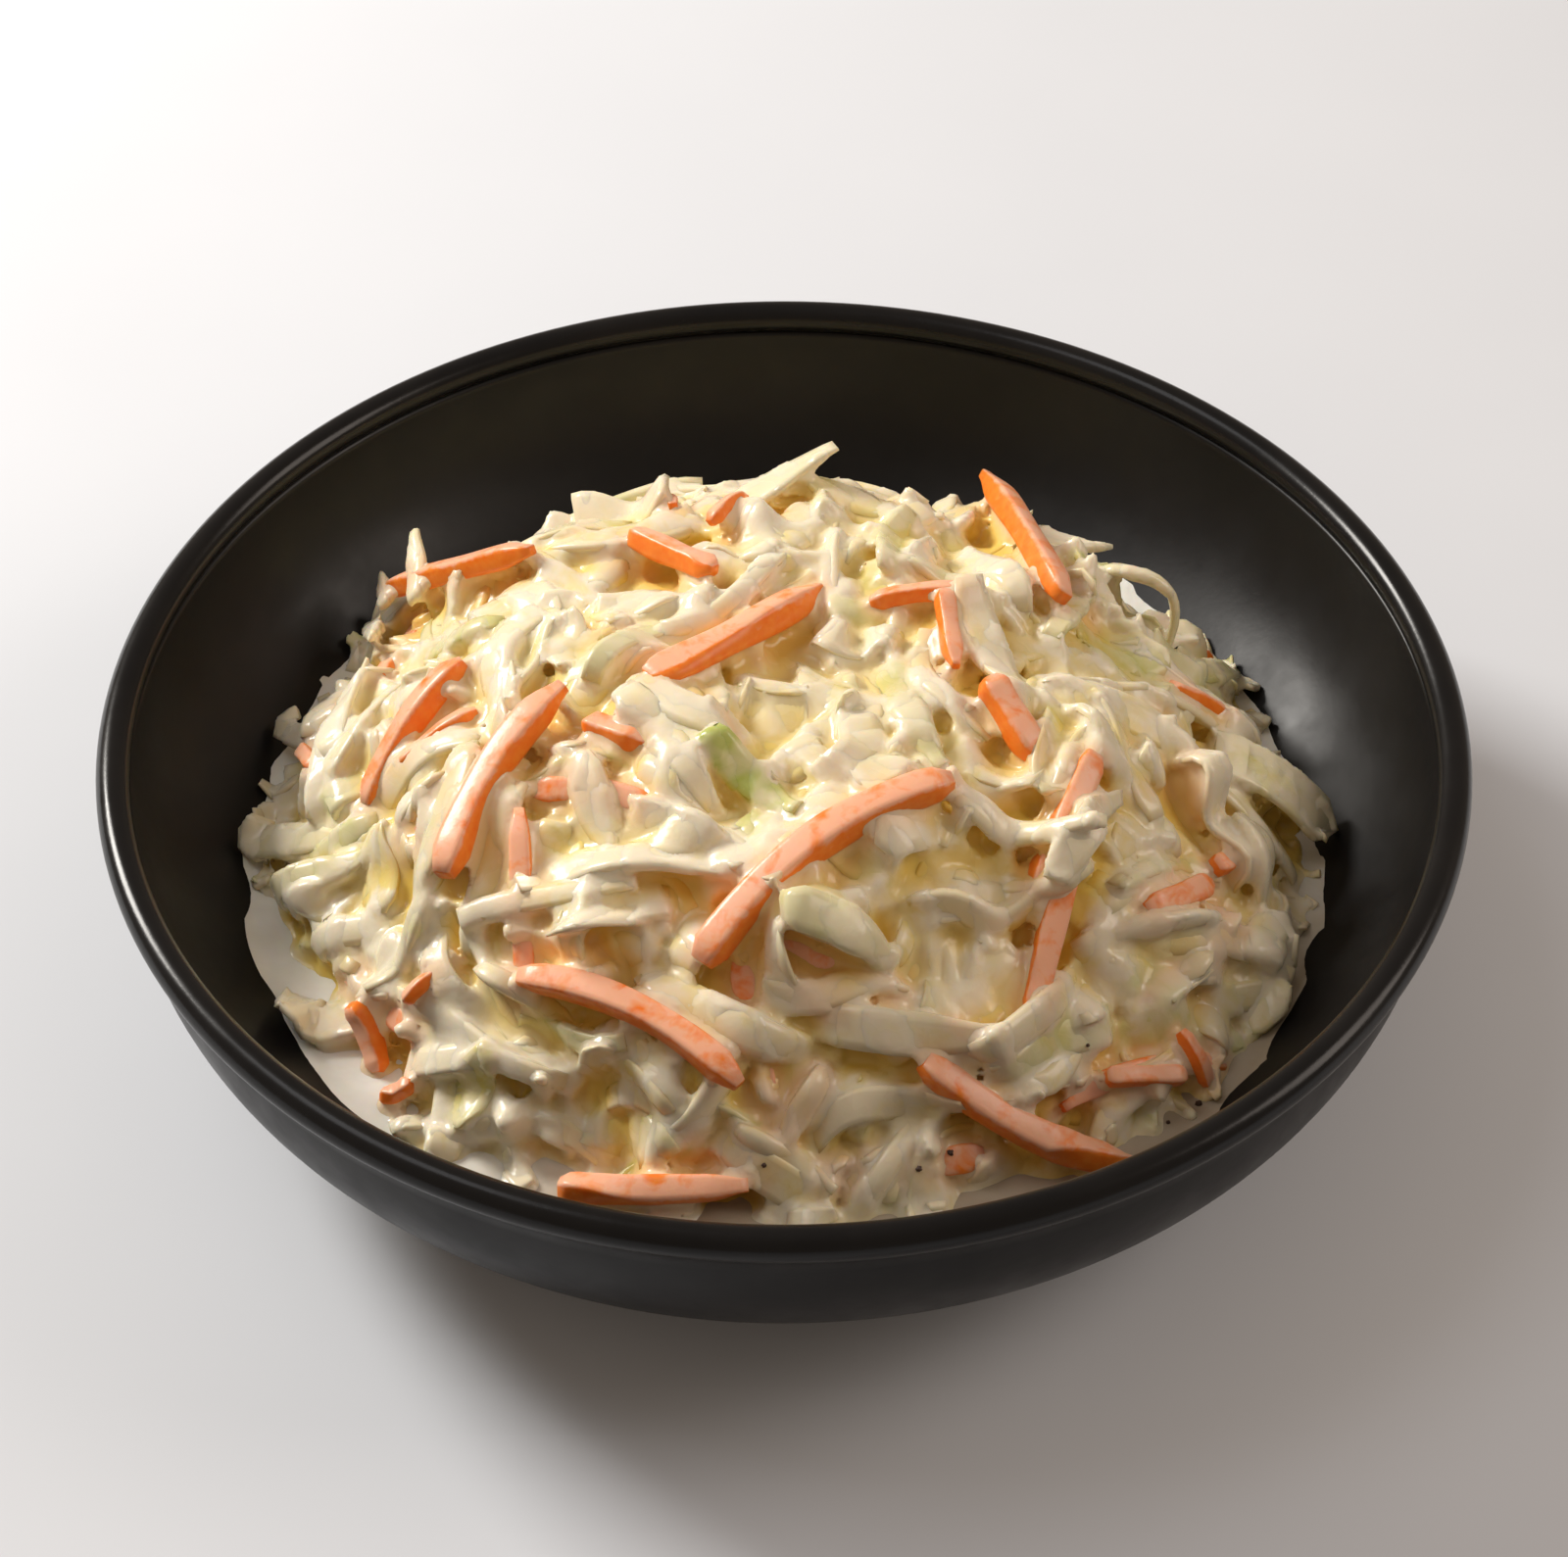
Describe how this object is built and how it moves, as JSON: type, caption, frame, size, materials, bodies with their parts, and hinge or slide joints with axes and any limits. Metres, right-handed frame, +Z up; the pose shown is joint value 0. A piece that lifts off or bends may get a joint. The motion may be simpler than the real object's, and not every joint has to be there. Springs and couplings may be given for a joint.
{
  "type": "bowl of coleslaw",
  "caption": "Creamy coleslaw of shredded cabbage and carrot batons, heaped in a round, low-footed black bowl.",
  "frame": {"origin": "centre of the circle that the bowl's foot ring stands on", "axes": "+Z up out of the bowl, +X to the right and +Y to the back as seen by the viewer"},
  "size_m": [0.17, 0.17, 0.0521],
  "materials": {
    "black_glaze": "satin near-black stoneware glaze",
    "cream": "glossy off-white creamy dressing",
    "slaw_mix": "moist pale cabbage and orange carrot coated in dressing"
  },
  "bodies": {
    "root": {"bowl": "black_glaze", "dressing": "cream", "slaw": "slaw_mix"}
  },
  "joints": []
}
